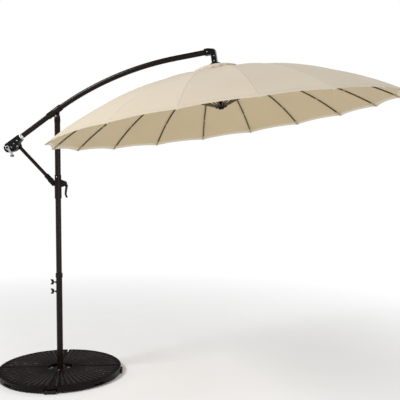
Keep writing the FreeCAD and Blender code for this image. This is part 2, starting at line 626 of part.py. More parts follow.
def make_slider_lever():
    """Clamp lever: a round cam between the ears and a curved handle that hangs beside the mast."""
    x, z = S.lever_out, S.lever_height
    cam = plate("lever_cam", [(x, z, 17), (x + 23, z - 17, 8)], "8")
    path = [(x + 23, z - 17, 8), (x + 17, z - 53, 7), (x + 13, z - 87, 6), (x + 23, z - 111, 5)]
    runs = [plate(f"lever_run_{k}", [path[k], path[k + 1]], "7") for k in range(3)]
    hole = rod("lever_hole", "sheet.small_pin + sheet.pin_play", "40", V(x, -20, z), Y_AXIS)
    keep(cut("slider_lever", fuse("lever_whole", cam, *runs), hole), "slider_lever")


# ---- head of the arm ----

PULLEY = V(-S.pulley_radius, 0, S.head_height + S.drum_rise + S.drum_radius + S.cord_radius
           - S.arm_rise - S.pulley_radius)


def make_elbow_bracket():
    """Folded corner over the arm's end, with the leg that comes down to the clamp flange."""
    middle = S.head_height
    foot = S.flange_height + S.flange_thick
    outline = [(-66, middle - 23, 2), (-20, middle - 25, 0), (-20, foot, 0), (20, foot, 0), (2, middle - 2, 16),
               (-36, middle + 21, 3.5), (-66, middle + 22.7, 2)]
    outer = plate("elbow_outer", outline, "sheet.elbow_half", CANOPY)
    inside = [(-80, middle - 21.5, 0), (-17, middle - 21.5, 0), (-17, foot + 3, 0), (17, foot + 3, 0),
              (2, middle - 2, 13), (-38, middle + 21.6, 0), (-80, middle + 22.4, 0)]
    room = plate("elbow_room", inside, "sheet.elbow_half - sheet.elbow_wall", CANOPY)
    folded = cut("elbow_folded", outer, room)
    flange = rod("clamp_flange", "sheet.flange_radius", "sheet.flange_thick",
                 V(0, 0, S.flange_height), Z_AXIS, CANOPY)
    edge = doc.addObject("Part::Chamfer", "flange_edge")
    edge.Base = flange
    doc.recompute()
    edge.Edges = [(n, 2.5, 2.5) for n, e in enumerate(flange.Shape.Edges, start=1)
                  if e.Closed and CANOPY.inverse().multVec(e.CenterOfMass).z > foot - 1]
    pin = rod("elbow_pin", "sheet.small_pin", "54", PULLEY - V(0, 27, 0), Y_AXIS, CANOPY)
    throat = rod("flange_bore", "10", "40", V(0, 0, S.flange_height - 10), Z_AXIS, CANOPY)
    hollow = cut("elbow_hollow", fuse("elbow_whole", folded, edge), throat)
    keep(fuse("elbow_bracket", hollow, pin), "elbow_bracket")


def make_elbow_pulley():
    """Grooved pulley on the elbow's pin."""
    frame = CANOPY.multiply(Pose(PULLEY, Turn(Z_AXIS, Y_AXIS)))
    owner = body("elbow_pulley", frame)
    floor = S.pulley_radius - S.cord_radius - 0.2
    bore, rim, half = S.small_pin + S.pin_play, S.pulley_radius + S.cord_radius, S.pulley_half
    profile = polygon([(bore, -half), (rim, -half), (floor, -2.4), (floor, 2.4), (rim, half), (bore, half)])
    turned = feature(owner, "Revolution", "pulley_round", draw(owner, "pulley_sketch", "XZ_Plane", profile))
    sketch = turned.Profile[0]
    turned.ReferenceAxis = (sketch, ["V_Axis"])
    turned.Angle = 360


def make_lift_cord():
    """The cord from the drum, along the arm, over the pulley and down to the runner."""
    rise = S.drum_rise + S.drum_radius + S.cord_radius
    run = arm_run("cord_run", "sheet.cord_radius", rise, -S.drum_back, -S.pulley_radius)
    corner = solid("Torus", "cord_corner", CANOPY.multiply(Pose(PULLEY, BEND_POSE)),
                   Radius1="sheet.pulley_radius", Radius2="sheet.cord_radius", Angle3="90")
    bottom = S.runner_height + 45
    drop = rod("cord_drop", "sheet.cord_radius", f"{PULLEY.z - bottom}", V(0, 0, bottom), Z_AXIS, CANOPY)
    loop = solid("Torus", "cord_loop", ARM.multiply(Pose(V(-S.drum_back, 0, S.drum_rise), BEND_POSE)),
                 Radius1="sheet.drum_radius + sheet.cord_radius + sheet.cord_lift", Radius2="sheet.cord_radius")
    keep(fuse("lift_cord", run, corner, drop, loop), "lift_cord")


# ---- hub, runner, ribs and stretchers ----

def slotted(owner, floor, reach):
    """Cut one slot per rib into a round body, open at the rim, right through its height."""
    half = S.slot / 2
    notch = draw(owner, owner.Label + "_slot_sketch", "XY_Plane",
                 polygon([(floor, -half), (reach, -half), (reach, half), (floor, half)]))
    pocket = feature(owner, "Pocket", owner.Label + "_slot", notch)
    pocket.Midplane = True
    pocket.Type = "ThroughAll"
    doc.recompute()
    pattern = owner.newObject("PartDesign::PolarPattern", owner.Label + "_slots")
    pattern.Originals = [pocket]
    pattern.Axis = (notch, ["N_Axis"])
    pattern.Angle = 360
    bind(pattern, {"Occurrences": "sheet.ribs"})
    owner.Tip = pattern
    return pattern


def turned_body(label, profile, pose):
    """A body made by turning a half outline (radius, height) about its own Z axis."""
    owner = body(label, pose)
    sketch = draw(owner, label + "_profile", "XZ_Plane", polygon(profile))
    turned = feature(owner, "Revolution", label + "_round", sketch)
    turned.ReferenceAxis = (sketch, ["V_Axis"])
    turned.Angle = 360
    return owner


def make_top_hub():
    """Slotted crown with the hinge ring, on a neck that carries the vent cap up to the flange."""
    low = S.hinge_height - 14
    high = S.hinge_height + 8
    top = S.flange_height
    rim = S.collar
    profile = [(S.throat, low), (58, low), (58, high), (34, high), (34, high + 4), (15, high + 8), (15, top - 9),
               (rim, top - 7), (rim, top - 3.6), (15, top - 3.6), (15, top), (S.throat, top)]
    owner = turned_body("top_hub", profile, rib_frame(0))
    slotted(owner, 34.5, 70)
    wire = owner.newObject("PartDesign::AdditiveTorus", "hinge_wire")
    wire.AttachmentSupport = [([f for f in owner.Origin.OriginFeatures if f.Role == "XY_Plane"][0], "")]
    wire.MapMode = "FlatFace"
    wire.AttachmentOffset = Pose(V(0, 0, S.hinge_height), Turn())
    bind(wire, {"Radius1": "sheet.hinge_ring", "Radius2": "2"})


def make_runner():
    """Slotted ring that the cord lifts, where the stretchers meet."""
    ring_low = S.runner_height - 11
    ring_high = S.runner_height + 11
    profile = [(0, ring_low - 13), (16, ring_low - 13), (24, ring_low - 6), (24, ring_low), (44, ring_low),
               (44, ring_high), (23, ring_high), (23, ring_high + 26), (16, ring_high + 33), (0, ring_high + 33)]
    owner = turned_body("runner", profile, rib_frame(0))
    slotted(owner, 30, 60)


DOME_RADIUS = (S.canopy_radius ** 2 + S.canopy_rise ** 2) / (2 * S.canopy_rise)
RIB_TOP = DOME_RADIUS - S.cloth - S.cloth_gap
RIB_LOW = RIB_TOP - S.rib_depth


def dome_polar(radius, height):
    """Angle from the canopy's axis, in radians, and distance from the dome's centre."""
    rise = height - S.canopy_rise + DOME_RADIUS
    return math.atan2(radius, rise), math.hypot(radius, rise)


def make_rib(k):
    """Bent channel with a hinge tang at the hub and a rivet for its stretcher."""
    start = math.asin(S.rib_start / RIB_LOW)
    stop = math.asin(S.rib_end / RIB_TOP)
    label = f"rib_{k + 1:02d}"
    lean = Pose(V(0, 0, S.canopy_rise - DOME_RADIUS), Turn(Y_AXIS, math.degrees(start)))
    owner = body(label, rib_frame(k).multiply(lean))
    wide, wall = S.rib_width / 2, S.rib_wall
    channel = [(-wide, RIB_LOW), (-wide, RIB_TOP), (wide, RIB_TOP), (wide, RIB_LOW), (wide - wall, RIB_LOW),
               (wide - wall, RIB_TOP - wall), (wall - wide, RIB_TOP - wall), (wall - wide, RIB_LOW)]
    profile = draw(owner, label + "_channel", "YZ_Plane", polygon(channel))
    bent = feature(owner, "Revolution", label + "_bend", profile)
    bent.ReferenceAxis = (profile, ["H_Axis"])
    bent.Angle = math.degrees(stop - start)
    angle, far = dome_polar(S.hinge_ring, S.hinge_height)
    eye = (far * math.sin(angle - start), far * math.cos(angle - start))
    top = RIB_TOP - wall / 2
    tang = draw(owner, label + "_tang", "XZ_Plane",
                belt([(eye[0], eye[1], 6), (14, RIB_LOW - 1, 0), (14, top, 0), (0.5, top, 0)])
                + ring(eye[0], eye[1], 2.25))
    pad = feature(owner, "Pad", label + "_hinge", tang, Length="sheet.tang")
    pad.Midplane = True
    angle, far = dome_polar(S.joint_ring, S.joint_height)
    rivet_spot = ring(far * math.sin(angle - start), far * math.cos(angle - start), 2)
    rivet = feature(owner, "Pad", label + "_rivet", draw(owner, label + "_rivet_sketch", "XZ_Plane", rivet_spot),
                    Length="sheet.rib_width")
    rivet.Midplane = True
    return owner


STAY_RUN = S.joint_ring - S.runner_ring
STAY_FALL = S.joint_height - S.runner_height
STAY_LENGTH = math.hypot(STAY_RUN, STAY_FALL)


def make_stretcher(k):
    """Flat bar from the rib's rivet to the runner, with an eye at each end."""
    label = f"stretcher_{k + 1:02d}"
    down = 180 - math.degrees(math.atan2(STAY_FALL, STAY_RUN))
    pose = rib_frame(k).multiply(Pose(V(S.joint_ring, 0, S.joint_height), Turn(Y_AXIS, down)))
    owner = body(label, pose)
    half = S.stay_half
    outline = belt([(0, 0, half), (STAY_LENGTH, 0, half + 1.5)])
    holes = ring(0, 0, 2.06) + ring(STAY_LENGTH, 0, 2.2)
    bar = feature(owner, "Pad", label + "_bar", draw(owner, label + "_outline", "XZ_Plane", outline + holes),
                  Length="sheet.stay")
    bar.Midplane = True
    return owner


# ---- canopy cloth ----

def cloth_wire(k, inner, outer, crown, radius):
    """Cut through the cloth along rib k: crown is its outer height on the axis, radius its bend."""
    frame = rib_frame(k)

    def point(reach, depth):
        angle = math.asin(reach / radius)
        bend = radius - depth
        return frame.multVec(V(bend * math.sin(angle), 0, crown - radius + bend * math.cos(angle)))

    middle = (inner + outer) / 2
    return Part.Wire([Part.Arc(point(inner, 0), point(middle, 0), point(outer, 0)).toShape(),
                      Part.LineSegment(point(outer, 0), point(outer, S.cloth)).toShape(),
                      Part.Arc(point(outer, S.cloth), point(middle, S.cloth), point(inner, S.cloth)).toShape(),
                      Part.LineSegment(point(inner, S.cloth), point(inner, 0)).toShape()])


def cloth_ring(inner, outer, crown, radius):
    """One cloth panel from each rib to the next, side by side."""
    panels = []
    for k in range(int(S.ribs)):
        sides = [cloth_wire(k, inner, outer, crown, radius), cloth_wire(k + 1, inner, outer, crown, radius)]
        panels.append(Part.makeLoft(sides, True, True))
    return panels


def make_canopy_fabric():
    """The canopy's panels and the vent cap over its centre hole."""
    vent_bend = (S.vent_radius ** 2 + S.vent_rise ** 2) / (2 * S.vent_rise)
    panels = cloth_ring(S.vent_hole, S.canopy_radius, S.canopy_rise, DOME_RADIUS)
    panels += cloth_ring(16, S.vent_radius, S.flange_height - 0.5, vent_bend)
    thing = doc.addObject("Part::Feature", "canopy_fabric")
    thing.Shape = Part.makeCompound(panels)
    keep(thing, "canopy_fabric")


# ---- build, check and write ----

make_base_cross()
make_base_weights()
make_foot_bolts()
make_lower_mast()
make_wing_bolt("wing_bolt_lower", S.wing_low)
make_wing_bolt("wing_bolt_upper", S.wing_high)
make_upper_mast()
make_mast_head()
make_slider()
make_slider_lever()
make_strut_tube()
make_strut_grip()
make_arm_tube()
make_arm_bracket()
make_pivot_bolts()
make_winch_housing()
make_winch_drum()
make_winch_crank()
make_elbow_bracket()
make_elbow_pulley()
make_lift_cord()
make_top_hub()
make_runner()
for number in range(int(S.ribs)):
    make_rib(number)
    make_stretcher(number)
make_canopy_fabric()
doc.recompute()

for thing in doc.Objects:
    if "Invalid" in thing.State or "Error" in thing.State:
        raise RuntimeError(f"{thing.Label} did not compute: {thing.State}")
for thing in parts:
    if thing.Shape.isNull() or not thing.Shape.isValid():
        raise RuntimeError(f"{thing.Label} has no valid shape")

os.makedirs("parts", exist_ok=True)
for thing in parts:
    thing.Shape.exportStep(f"parts/{thing.Label}.step")
    print(f"{thing.Label}: {len(thing.Shape.Solids)} solids, {thing.Shape.Volume / 1000:.1f} cm3")
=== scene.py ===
"""Cantilever parasol: the looks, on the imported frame.

Camera, materials, canopy cloth, lift cord, small parts, slab relief, floor and light, in this order.
"""
import json
import math

import bmesh
import bpy
from mathutils import Matrix, Vector


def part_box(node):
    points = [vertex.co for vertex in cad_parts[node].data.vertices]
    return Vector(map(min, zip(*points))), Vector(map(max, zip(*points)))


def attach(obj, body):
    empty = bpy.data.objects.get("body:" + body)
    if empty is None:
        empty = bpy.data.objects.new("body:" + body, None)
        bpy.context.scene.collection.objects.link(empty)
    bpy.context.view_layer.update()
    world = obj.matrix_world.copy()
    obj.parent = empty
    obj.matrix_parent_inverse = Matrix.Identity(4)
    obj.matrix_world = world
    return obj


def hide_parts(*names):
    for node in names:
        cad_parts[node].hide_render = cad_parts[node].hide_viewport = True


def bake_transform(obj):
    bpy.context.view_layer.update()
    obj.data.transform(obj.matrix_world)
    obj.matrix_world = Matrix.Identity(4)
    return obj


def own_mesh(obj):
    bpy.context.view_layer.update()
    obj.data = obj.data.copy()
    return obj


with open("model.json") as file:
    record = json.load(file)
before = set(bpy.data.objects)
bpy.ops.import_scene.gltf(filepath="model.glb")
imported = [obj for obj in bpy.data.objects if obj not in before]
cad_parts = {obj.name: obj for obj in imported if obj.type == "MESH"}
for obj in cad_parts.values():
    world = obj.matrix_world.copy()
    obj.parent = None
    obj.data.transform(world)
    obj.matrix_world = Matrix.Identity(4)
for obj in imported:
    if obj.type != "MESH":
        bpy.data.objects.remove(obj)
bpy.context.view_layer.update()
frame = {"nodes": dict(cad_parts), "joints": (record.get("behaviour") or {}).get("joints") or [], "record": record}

JOINTS = {joint["name"]: joint for joint in frame["joints"]}
NODES = frame["nodes"]
X, Y, Z = Vector((1, 0, 0)), Vector((0, 1, 0)), Vector((0, 0, 1))

# ---- driving sizes, in metres ----

RIBS = 18
STEP = 2 * math.pi / RIBS
CANOPY_RADIUS = 1.350
CANOPY_RISE = 0.400
DOME = (CANOPY_RADIUS ** 2 + CANOPY_RISE ** 2) / (2 * CANOPY_RISE)
VENT_HOLE = 0.112
SCALLOP = 0.017           # how far the rim draws in between two rib tips
SAG = 0.007               # how far a panel sinks below the straight line between its ribs
CLOTH = 0.0011            # thickness of the cloth
HEM = 0.028               # width of the sewn hem
HINGE_RING, HINGE_HEIGHT = 0.045, 0.388
VENT_INNER, VENT_OUTER = 0.0165, 0.168
VENT_CROWN, VENT_RISE = 0.4575, 0.0325
VENT_SCALLOP, VENT_HEM = 0.004, 0.014
VENT_BEND = (VENT_OUTER ** 2 + VENT_RISE ** 2) / (2 * VENT_RISE)
RIB_DEPTH, RIB_WIDTH, RIB_TOP = 0.008, 0.008, 0.003
ARM_SLOPE = math.radians(33.5)
CANOPY_TILT = math.radians(8.4)
ARM_RISE, ARM_BEND = 0.042, 2.540    # the bend is the radius of the arm's arc
DRUM_BACK, DRUM_RISE, DRUM_RADIUS = 0.500, 0.028, 0.014
HEAD_HEIGHT, PULLEY_RADIUS = 0.560, 0.010
CORD_RADIUS, CORD_LIFT = 0.002, 0.0003
CORD_FREE, CORD_END = 0.370, 0.176    # heights between which the cord stretches with the runner
CASE_HALF, ELBOW_HALF, CRANK_FACE = 0.025, 0.0245, 0.040
CROSS_TURN, CROSS_PLUG = math.radians(17), 0.4785    # the plugs begin this far from the mast
SLAB_TOP = 0.057
GRIP_RING = 0.004         # spacing of the rings on the crank's grip
THREAD = 0.0011           # one thread of the weave and its gap
STITCH, STITCH_HALF, STITCH_SHARE = 0.0042, 0.0007, 0.72    # spacing, half width, share that is thread

LENS, SENSOR = 58.41, 36.0
EYE_PLACE = (2.3565, -4.8901, 1.7254)
YAW, PITCH = math.radians(-13.39), math.radians(-3.10)

# ---- camera ----

eye = bpy.data.objects.new("camera", bpy.data.cameras.new("camera"))
bpy.context.scene.collection.objects.link(eye)
bpy.context.scene.camera = eye
eye.data.sensor_width = SENSOR
eye.data.lens = LENS
eye.location = EYE_PLACE
gaze = Vector((math.sin(YAW) * math.cos(PITCH), math.cos(YAW) * math.cos(PITCH), math.sin(PITCH)))
eye.rotation_euler = gaze.to_track_quat("-Z", "Y").to_euler()

# ---- frames ----

UP = -Vector(JOINTS["canopy_fold"]["axis"])


def rib_frame(k):
    """Frame of rib k, at the rim's centre: x outwards along the rib, y across it, z up the canopy's axis."""
    hinge = JOINTS[f"rib_{k + 1:02d}_hinge"]
    across = Vector(hinge["axis"]).normalized()
    out = across.cross(UP)
    origin = Vector(hinge["pos_m"]) - out * HINGE_RING - UP * HINGE_HEIGHT
    return Matrix.Translation(origin) @ Matrix((out, across, UP)).transposed().to_4x4()


# The canopy's frame has its origin at the rim's centre and z along its axis.
# The arm's frame has its origin at the tilt bolt and x along the arm's straight part.
CANOPY = Matrix.Translation(rib_frame(0).translation) @ Matrix.Rotation(-CANOPY_TILT, 4, "Y")
ARM = Matrix.Translation(Vector(JOINTS["arm_tilt"]["pos_m"])) @ Matrix.Rotation(-ARM_SLOPE, 4, "Y")


# ---- node helpers ----

class Nodes:
    """A material being built, with short calls for its nodes."""

    def __init__(self, name):
        self.material = bpy.data.materials.new(name)
        self.material.use_nodes = True
        self.tree = self.material.node_tree
        self.tree.nodes.clear()
        self.shader = self.add("BsdfPrincipled")
        self.add("OutputMaterial", {"Surface": self.shader.outputs[0]})

    def feed(self, socket, value):
        """Give a socket a plain value, or link it if the value is another node's socket."""
        if isinstance(value, bpy.types.NodeSocket):
            self.tree.links.new(value, socket)
        elif socket.type == "RGBA":
            socket.default_value = (*value, 1.0)
        else:
            socket.default_value = value

    def add(self, kind, inputs=(), **settings):
        """A new node, with its settings and its inputs."""
        node = self.tree.nodes.new("ShaderNode" + kind)
        for key, value in settings.items():
            setattr(node, key, value)
        for key, value in dict(inputs).items():
            self.feed(node.inputs[key], value)
        return node

    def math(self, operation, a, b=0.0, c=0.0):
        return self.add("Math", {0: a, 1: b, 2: c}, operation=operation).outputs[0]

    def place(self, kind="Object"):
        return self.add("TexCoord").outputs[kind]

    def noise(self, scale, detail=3.0, roughness=0.5, place=None):
        return self.add("TexNoise", {"Vector": place or self.place(), "Scale": scale, "Detail": detail,
                                     "Roughness": roughness}).outputs["Fac"]

    def span(self, value, low, high, new_low, new_high):
        return self.add("MapRange", {"Value": value, "From Min": low, "From Max": high, "To Min": new_low,
                                     "To Max": new_high}).outputs[0]

    def smudges(self, low, high):
        """Uneven roughness, as on handled metal."""
        return self.span(self.noise(25.0, 6.0, 0.7), 0.3, 0.7, low, high)

    def mix(self, factor, a, b):
        """A colour between a and b; inputs 6 and 7 and output 2 are the Mix node's colours."""
        return self.add("Mix", {0: factor, 6: a, 7: b}, data_type="RGBA").outputs[2]

    def mottle(self, a, b, scale, low, high):
        """Patches of colour a and b."""
        return self.mix(self.span(self.noise(scale), low, high, 0.0, 1.0), a, b)

    def bump(self, height, distance, strength=1.0, normal=None):
        inputs = {"Height": height, "Distance": distance, "Strength": strength}
        if normal is not None:
            inputs["Normal"] = normal
        return self.add("Bump", inputs).outputs[0]

    def surface(self, **values):
        """Values or sockets for the shader's inputs; underscores stand for spaces."""
        for key, value in values.items():
            self.feed(self.shader.inputs[key.replace("_", " ")], value)
        return self.material


def coated(name, dark, light, rough, grain=0.00006, wear=0.25, worn=(0.16, 0.12, 0.10), gloss=0.4):
    """Painted or moulded surface: cloudy colour, fine grain, and edges rubbed a little lighter."""
    n = Nodes(name)
    clouds = n.noise(9.0, 4.0, 0.6)
    colour = n.mix(n.span(clouds, 0.35, 0.65, 0.0, 1.0), dark, light)
    edge = n.add("NewGeometry").outputs["Pointiness"]
    patches = n.span(n.noise(60.0), 0.4, 0.6, 0.3, 1.0)
    colour = n.mix(n.math("MULTIPLY", n.span(edge, 0.56, 0.64, 0.0, wear), patches), colour, worn)
    roughness = n.span(n.noise(35.0, 5.0, 0.65), 0.3, 0.7, rough - 0.06, rough + 0.08)
    skin = n.bump(n.noise(900.0, 2.0), grain, 0.6, n.bump(n.noise(140.0, 2.0), grain * 2, 0.35))
    return n.surface(Base_Color=colour, Roughness=roughness, Specular_IOR_Level=gloss, Normal=skin)


def bright_metal(name, colour, rough, brushed=0.0, metal=1.0):
    """Plated metal: smudges in the roughness and, if brushed, fine lines."""
    n = Nodes(name)
    tint = n.mottle(colour, tuple(0.86 * c for c in colour), 14.0, 0.4, 0.6)
    stretched = n.add("Mapping", {"Vector": n.place(), "Scale": (900.0, 900.0, 30.0)}).outputs[0]
    lines = n.bump(n.noise(1.0, 2.0, 0.5, stretched), 0.00004, brushed)
    smudges = n.smudges(rough * 0.7, rough * 1.4)
    return n.surface(Base_Color=tint, Roughness=smudges, Metallic=metal, Normal=lines)


def cross_finish(name):
    """Grey tubes, painted light grey as the reflection along their edges, with black plugs and feet at the ends of
    the cross.
    """
    n = Nodes(name)
    away = n.add("VectorMath", {0: n.place()}, operation="LENGTH").outputs["Value"]
    plug = n.math("GREATER_THAN", away, CROSS_PLUG)
    painted_reflection_grey = n.mottle((0.42, 0.40, 0.39), (0.34, 0.32, 0.31), 14.0, 0.4, 0.6)
    metal = n.math("MULTIPLY", n.math("SUBTRACT", 1.0, plug), 0.6)
    skin = n.bump(n.noise(300.0, 2.0), 0.0001, 0.4)
    return n.surface(Base_Color=n.mix(plug, painted_reflection_grey, (0.006, 0.006, 0.006)), Roughness=n.smudges(0.30, 0.50),
                     Specular_IOR_Level=0.3, Metallic=metal, Normal=skin)


def crank_finish(name):
    """Plated crank whose grip, further out than the arm, is dull grey plastic."""
    n = Nodes(name)
    out = n.add("SeparateXYZ", {0: n.place()}).outputs[1]
    grip = n.math("LESS_THAN", out, -CRANK_FACE - 0.0002)
    colour = n.mix(grip, (0.80, 0.80, 0.81), (0.15, 0.15, 0.155))
    rough = n.math("ADD", n.smudges(0.14, 0.26), n.math("MULTIPLY", grip, 0.25))
    metal = n.math("MULTIPLY", n.math("SUBTRACT", 1.0, grip), 0.7)
    rings = n.math("MULTIPLY", grip, n.math("SINE", n.math("MULTIPLY", out, 2 * math.pi / GRIP_RING)))
    return n.surface(Base_Color=colour, Roughness=rough, Metallic=metal, Normal=n.bump(rings, 0.0003, 0.5))


def cloth(name, light, dark, stitches=()):
    """Woven polyester. UV is in metres, u across and v along. Stitches are lines of thread: (axis, place)."""
    n = Nodes(name)
    uv = n.add("SeparateXYZ", {0: n.place("UV")})
    warp = n.math("SINE", n.math("MULTIPLY", uv.outputs[0], 2 * math.pi / THREAD))
    weft = n.math("SINE", n.math("MULTIPLY", uv.outputs[1], 2 * math.pi / THREAD))
    weave = n.math("MULTIPLY", n.math("MULTIPLY", warp, weft), 0.25)
    slub = n.add("Mapping", {"Vector": n.place("UV"), "Scale": (900.0, 30.0, 1.0)}).outputs[0]
    streak = n.span(n.noise(1.0, 3.0, 0.6, slub), 0.3, 0.7, 0.0, 1.0)
    cloudy = n.span(n.noise(3.0, 4.0, 0.55), 0.3, 0.7, 0.0, 1.0)
    colour = n.mix(n.math("MULTIPLY_ADD", cloudy, 0.6, n.math("MULTIPLY", streak, 0.3)), light, dark)
    relief = n.bump(weave, 0.00003, 0.10, n.bump(n.noise(11.0, 4.0, 0.6), 0.003, 0.06))
    for axis, where in stitches:
        across, along = (uv.outputs[0], uv.outputs[1]) if axis == "u" else (uv.outputs[1], uv.outputs[0])
        near = n.math("LESS_THAN", n.math("ABSOLUTE", n.math("SUBTRACT", across, where)), STITCH_HALF)
        dash = n.math("LESS_THAN", n.math("FRACT", n.math("MULTIPLY", along, 1 / STITCH)), STITCH_SHARE)
        thread = n.math("MULTIPLY", near, dash)
        colour = n.mix(n.math("MULTIPLY", thread, 0.35), colour, tuple(c * 0.6 for c in dark))
        relief = n.bump(thread, 0.0004, 0.8, relief)
    return n.surface(Base_Color=colour, Roughness=0.85, Normal=relief, Specular_IOR_Level=0.25,
                     Sheen_Weight=0.12, Sheen_Roughness=0.5)


MATERIALS = {
    "frame_paint": coated("frame_paint", (0.0110, 0.0058, 0.0048), (0.0140, 0.0076, 0.0062), 0.24,
                          wear=0.06, gloss=0.15),
    "rib_paint": coated("rib_paint", (0.095, 0.074, 0.038), (0.120, 0.094, 0.052), 0.45, gloss=0.2),
    "black_plastic": coated("black_plastic", (0.0042, 0.0042, 0.0042), (0.0075, 0.0075, 0.0075), 0.36,
                            grain=0.00012, wear=0.10, worn=(0.04, 0.04, 0.04), gloss=0.14),
    "weights": coated("weights", (0.0032, 0.0024, 0.0022), (0.0070, 0.0046, 0.0040), 0.32, grain=0.00020,
                      wear=0.45, worn=(0.045, 0.034, 0.030), gloss=0.12),
    "chrome": bright_metal("chrome", (0.80, 0.80, 0.81), 0.22, metal=0.7),
    "zinc": bright_metal("zinc", (0.55, 0.55, 0.55), 0.30, 0.6, metal=0.8),
    "cord": cloth("cord", (0.03, 0.03, 0.03), (0.015, 0.015, 0.015)),
}
TOP_LIGHT, TOP_DARK = (0.68, 0.60, 0.475), (0.645, 0.56, 0.435)
# The inside colours are the top cloth's colours painted darker and warmer: painted shade under the canopy, warmed
# as if by light shining through the cloth.
SHADED_INSIDE_LIGHT, SHADED_INSIDE_DARK = (0.585, 0.475, 0.300), (0.545, 0.440, 0.272)
CLOTH_TOP = cloth("cloth_top", TOP_LIGHT, TOP_DARK)
CLOTH_INSIDE_SHADED = cloth("cloth_inside_painted_shade", SHADED_INSIDE_LIGHT, SHADED_INSIDE_DARK)
SEAM_TOP = cloth("seam_top", TOP_LIGHT, TOP_DARK, (("u", -0.0045), ("u", 0.0045)))
HEM_TOP = cloth("hem_top", TOP_LIGHT, TOP_DARK, (("v", 0.004), ("v", 0.024)))
POCKET = cloth("pocket", (0.42, 0.35, 0.24), (0.36, 0.30, 0.20))
# Ridges and dots of the slab relief are painted lighter brown than the slabs: partly the pattern's own tone and
# partly painted glint on the raised relief.
RIDGE = coated("slab_ridges_tone_and_glint", (0.016, 0.010, 0.008), (0.030, 0.019, 0.015), 0.24, wear=0.3, gloss=0.5)
TIP = coated("tip_plastic", (0.60, 0.53, 0.41), (0.64, 0.57, 0.45), 0.5, wear=0.0, gloss=0.3)

for sub in frame["record"]["subparts"]:
    node = NODES[sub["node"]]
    node.data.materials.clear()
    node.data.materials.append(MATERIALS.get(sub["material_slot"], CLOTH_TOP))
NODES["winch_crank"].data.materials[0] = crank_finish("crank")
NODES["base_cross"].data.materials[0] = cross_finish("cross")


# ---- mesh helpers ----

def shell(name, points, faces, materials, uvs=None, smooth=True):
    """A mesh object from points and faces in the part's frame, with an optional UV for each point."""
    mesh = bpy.data.meshes.new(name)
    mesh.from_pydata([tuple(p) for p in points], [], faces)
    for material in materials:
        mesh.materials.append(material)
    if uvs:
        layer = mesh.uv_layers.new(name="UVMap")
        for loop in mesh.loops:
            layer.data[loop.index].uv = uvs[loop.vertex_index]
    if smooth:
        mesh.shade_smooth()
    else:
        mesh.shade_flat()
    mesh.update()
    thing = bpy.data.objects.new(name, mesh)
    bpy.context.scene.collection.objects.link(thing)
    return thing


def net(rows, columns, closed=False):
    """Faces of a grid of points, row by row, facing the side where rows then columns turn anticlockwise."""
    last = columns if closed else columns - 1
    return [(i * columns + j, (i + 1) * columns + j, (i + 1) * columns + (j + 1) % columns,
             i * columns + (j + 1) % columns) for i in range(rows - 1) for j in range(last)]


def bar_faces(rows, around):
    """Faces of a closed bar: rows of points about its axis, with a cap at each end."""
    last = (rows - 1) * around
    caps = [list(range(around))[::-1], list(range(last, last + around))]
    return [face[::-1] for face in net(rows, around, closed=True)] + caps


def polar(angle, radius=1.0, z=0.0):
    """Point at an angle about the z axis, at a radius and a height."""
    return Vector((radius * math.cos(angle), radius * math.sin(angle), z))


def lathe(name, profile, pose, material, around=32):
    """A closed solid turned about the pose's z axis from a profile of (radius, height)."""
    points = [pose @ polar(2 * math.pi * j / around, r, h) for r, h in profile for j in range(around)]
    return shell(name, points, bar_faces(len(profile), around), [material])


def facing(point, direction):
    """A pose at point whose z axis is along direction."""
    return Matrix.Translation(point) @ direction.to_track_quat("Z", "Y").to_matrix().to_4x4()


def soften(thing, width):
    """Round the edges of a CAD node with modifiers, which leave its mesh as it is."""
    weld = thing.modifiers.new("weld", "WELD")
    weld.merge_threshold = 1e-5
    bevel = thing.modifiers.new("bevel", "BEVEL")
    bevel.width = width
    bevel.segments = 2
    bevel.limit_method = "ANGLE"
    bevel.angle_limit = math.radians(35)
    bevel.harden_normals = True


# ---- canopy cloth ----

def arch(share):
    """0 at both ends of a span, 1 at its middle."""
    return 4 * share * (1 - share)


def between_ribs(radius, share):
    """Plan of the straight line from a rib to the next one (share above 0) or to the last one (below 0)."""
    flat = polar(0.0, radius).lerp(polar(STEP, radius), abs(share))
    return flat.x, math.copysign(flat.y, share)


def dome_point(radius, share, lift=0.0):
    """Point of the main cloth in a rib's frame: radius as on the rib, share of the way to the next rib."""
    out, across = between_ribs(radius, share)
    lean = min(1.0, radius / DOME)
    height = CANOPY_RISE - DOME + math.sqrt(DOME ** 2 - radius ** 2)
    along = (radius - VENT_HOLE) / (CANOPY_RADIUS - VENT_HOLE)
    sink = SAG * arch(abs(share)) * max(0.0, arch(along)) - lift
    return Vector((out - sink * lean, across, height - sink * math.sqrt(1 - lean ** 2)))


def vent_point(radius, share, lift=0.0):
    """The same for the vent cap, which has no sag."""
    height = VENT_CROWN - VENT_BEND + math.sqrt(VENT_BEND ** 2 - radius ** 2) + lift
    return Vector((*between_ribs(radius, share), height))


def rim_radius(outer, depth, share):
    """Radius of the scalloped edge: pointed at the ribs, drawn in between them."""
    return outer - depth * arch(abs(share))


def shares(columns):
    """Places across a piece, from the middle of one panel to the middle of the next."""
    return [j / (columns - 1) - 0.5 for j in range(columns)]


def chord(radius, share=1.0):
    """Straight distance across a panel, or a share of it."""
    return share * 2 * radius * math.sin(STEP / 2)


